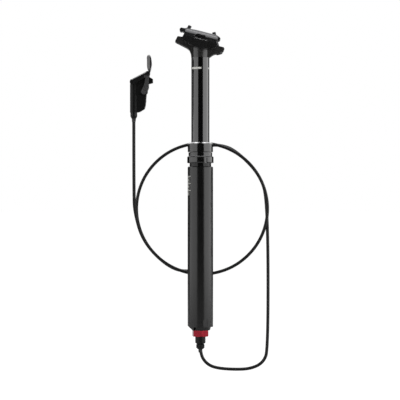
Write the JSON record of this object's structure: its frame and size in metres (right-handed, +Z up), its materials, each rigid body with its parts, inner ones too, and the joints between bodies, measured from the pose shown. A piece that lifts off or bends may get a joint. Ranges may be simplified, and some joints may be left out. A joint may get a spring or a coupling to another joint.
{
  "type": "dropper seatpost",
  "caption": "Telescopic bicycle seatpost with a two-bolt rail clamp and a thumb-lever hydraulic remote on a looped hose.",
  "frame": {"origin": "centre of the outer tube's lower rim, on the post's axis", "axes": "+Z up the post towards the saddle clamp, +X towards the front of the bicycle, +Y to its left"},
  "size_m": [0.1919, 0.0577, 0.4729],
  "materials": {
    "outer_black": "satin black anodised aluminium",
    "inner_black": "gloss black anodised aluminium",
    "forged_black": "satin black forged aluminium",
    "collar_black": "satin black machined aluminium",
    "band_grey": "plain turned aluminium",
    "red_anodised": "bright red anodised aluminium",
    "fitting_black": "black anodised aluminium",
    "bolt_steel": "black oxide steel",
    "inner_steel": "ground steel",
    "alloy": "turned aluminium",
    "rubber_black": "matt black rubber",
    "foam_grey": "open foam",
    "bushing_polymer": "dark polymer bushing",
    "key_brass": "turned brass",
    "hose_black": "satin black nylon hose",
    "remote_black": "satin black forged aluminium",
    "lever_grey": "satin dark grey aluminium",
    "cap_black": "matt black plastic"
  },
  "bodies": {
    "outer": {"outer_tube": "outer_black", "foot_cap": "outer_black", "foot_ring": "inner_steel", "shaft": "alloy", "main_piston": "alloy", "piston_seal": "rubber_black", "piston_nut": "alloy", "poppet_spring": "inner_steel", "collar": "collar_black", "collar_band": "band_grey", "lock_ring": "collar_black", "seal_cap": "collar_black", "wiper_seal": "rubber_black", "foam_ring": "foam_grey", "upper_bushing": "bushing_polymer", "coupling": "red_anodised", "hose_fitting": "fitting_black", "hose_nut": "fitting_black", "hose": "hose_black", "remote_body": "remote_black", "remote_gland": "fitting_black", "reservoir_cover": "cap_black", "bleed_screw": "bolt_steel", "pivot_pin": "inner_steel", "return_spring": "inner_steel"},
    "post": {"inner_tube": "inner_black", "head": "forged_black", "guide_keys": "key_brass", "lower_bushing": "bushing_polymer", "seal_head": "alloy", "rod_seal": "rubber_black", "air_valve": "key_brass", "valve_cap": "cap_black"},
    "floating": {"floating_piston": "alloy", "floating_seal": "rubber_black"},
    "clamp": {"lower_clamp": "forged_black", "upper_clamp": "forged_black"},
    "rear_bolt_body": {"rear_bolt": "bolt_steel", "rear_washer": "inner_steel"},
    "front_bolt_body": {"front_bolt": "bolt_steel", "front_washer": "inner_steel"},
    "rear_nut_body": {"rear_nut": "bolt_steel"},
    "front_nut_body": {"front_nut": "bolt_steel"},
    "poppet_body": {"poppet": "inner_steel"},
    "lever_body": {"lever": "lever_grey"},
    "plunger_body": {"plunger": "cap_black"}
  },
  "joints": [
    {"name": "post_drop", "type": "slide", "parent": "outer", "child": "post", "axis": [0, 0, 1], "range_m": [-0.1, 0], "stiffness_N_per_m": 300, "springref_m": 0.3},
    {"name": "floating_slide", "type": "slide", "parent": "post", "child": "floating", "axis": [0, 0, 1], "range_m": [-0.0005, 0.0235]},
    {"name": "clamp_tilt", "type": "hinge", "parent": "post", "child": "clamp", "pos_m": [0.00866, 0, 0.42412], "axis": [0, -1, 0], "range_deg": [-4, 4]},
    {"name": "rear_bolt_swing", "type": "hinge", "parent": "post", "child": "rear_bolt_body", "pos_m": [-0.02589, 0, 0.38767], "axis": [0, -1, 0], "range_deg": [-7.5, 7.5]},
    {"name": "front_bolt_swing", "type": "hinge", "parent": "post", "child": "front_bolt_body", "pos_m": [0.0252, 0, 0.37457], "axis": [0, -1, 0], "range_deg": [-7.5, 7.5]},
    {"name": "rear_nut_turn", "type": "hinge", "parent": "clamp", "child": "rear_nut_body", "pos_m": [-0.01791, 0, 0.40268], "axis": [0, -1, 0], "range_deg": [-11.6, 11.6]},
    {"name": "front_nut_turn", "type": "hinge", "parent": "clamp", "child": "front_nut_body", "pos_m": [0.02048, 0, 0.39297], "axis": [0, -1, 0], "range_deg": [-11.6, 11.6]},
    {"name": "lever_press", "type": "hinge", "parent": "outer", "child": "lever_body", "pos_m": [-0.0766, 0, 0.32], "axis": [0, -1, 0], "range_deg": [0, 8], "stiffness_Nm_per_rad": 0.3, "springref_deg": -17.19},
    {"name": "plunger_slide", "type": "slide", "parent": "outer", "child": "plunger_body", "axis": [0, 0, -1], "range_m": [-0.0001, 0.0022], "deforming": ["return_spring"]},
    {"name": "poppet_lift", "type": "slide", "parent": "outer", "child": "poppet_body", "axis": [0, 0, 1], "range_m": [-0.0001, 0.0019], "deforming": ["poppet_spring"]}
  ],
  "couplings": [
    {"joint": "floating_slide", "follows": "post_drop", "ratio": -0.2268},
    {"joint": "rear_bolt_swing", "follows": "clamp_tilt", "ratio": -1.83},
    {"joint": "front_bolt_swing", "follows": "clamp_tilt", "ratio": -1.735},
    {"joint": "rear_nut_turn", "follows": "clamp_tilt", "ratio": -2.83},
    {"joint": "front_nut_turn", "follows": "clamp_tilt", "ratio": -2.735},
    {"joint": "plunger_slide", "follows": "lever_press", "m_per_rad": 0.0152},
    {"joint": "poppet_lift", "follows": "lever_press", "m_per_rad": 0.0127}
  ]
}
